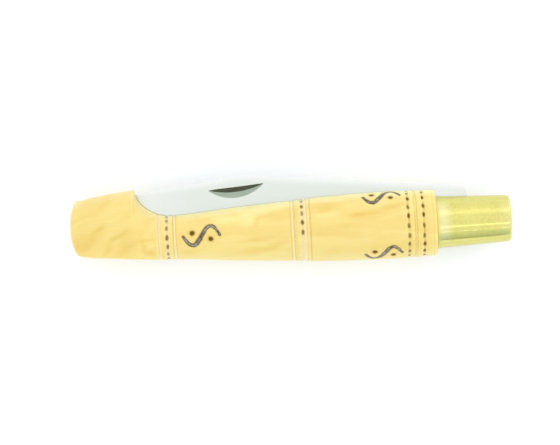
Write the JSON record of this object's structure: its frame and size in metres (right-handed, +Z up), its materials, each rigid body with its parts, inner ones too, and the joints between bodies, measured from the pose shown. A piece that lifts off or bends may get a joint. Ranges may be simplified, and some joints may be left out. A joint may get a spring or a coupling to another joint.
{
  "type": "pocket knife",
  "caption": "Folding pocket knife with a turned clog-shaped wooden handle, a folded steel blade with a nail nick and a brass ferrule that turns to lock it.",
  "frame": {"origin": "middle of the bounding box in plan, on the surface that the knife lies on", "axes": "+X along the handle from the butt to the ferrule's mouth, +Y across it towards the back of the folded blade, +Z up from the surface, across the blade's side"},
  "size_m": [0.1196, 0.0249, 0.0185],
  "materials": {
    "handle": "turned boxwood, smooth satin, with burnt marks",
    "pivot_pin": "plain steel",
    "blade": "fine satin steel",
    "ferrule": "lightly tarnished brushed brass"
  },
  "bodies": {
    "handle": {"handle": "handle", "pivot_pin": "pivot_pin"},
    "blade": {"blade": "blade"},
    "ferrule": {"ferrule": "ferrule"}
  },
  "joints": [
    {"name": "blade_fold", "type": "hinge", "parent": "handle", "child": "blade", "pos_m": [0.0543, -0.00131, 0.00925], "axis": [0, 0, -1], "range_deg": [0, 180]},
    {"name": "ferrule_turn", "type": "hinge", "parent": "handle", "child": "ferrule", "pos_m": [0.05, -0.00331, 0.00925], "axis": [1, 0, 0], "range_deg": [0, 45]}
  ]
}
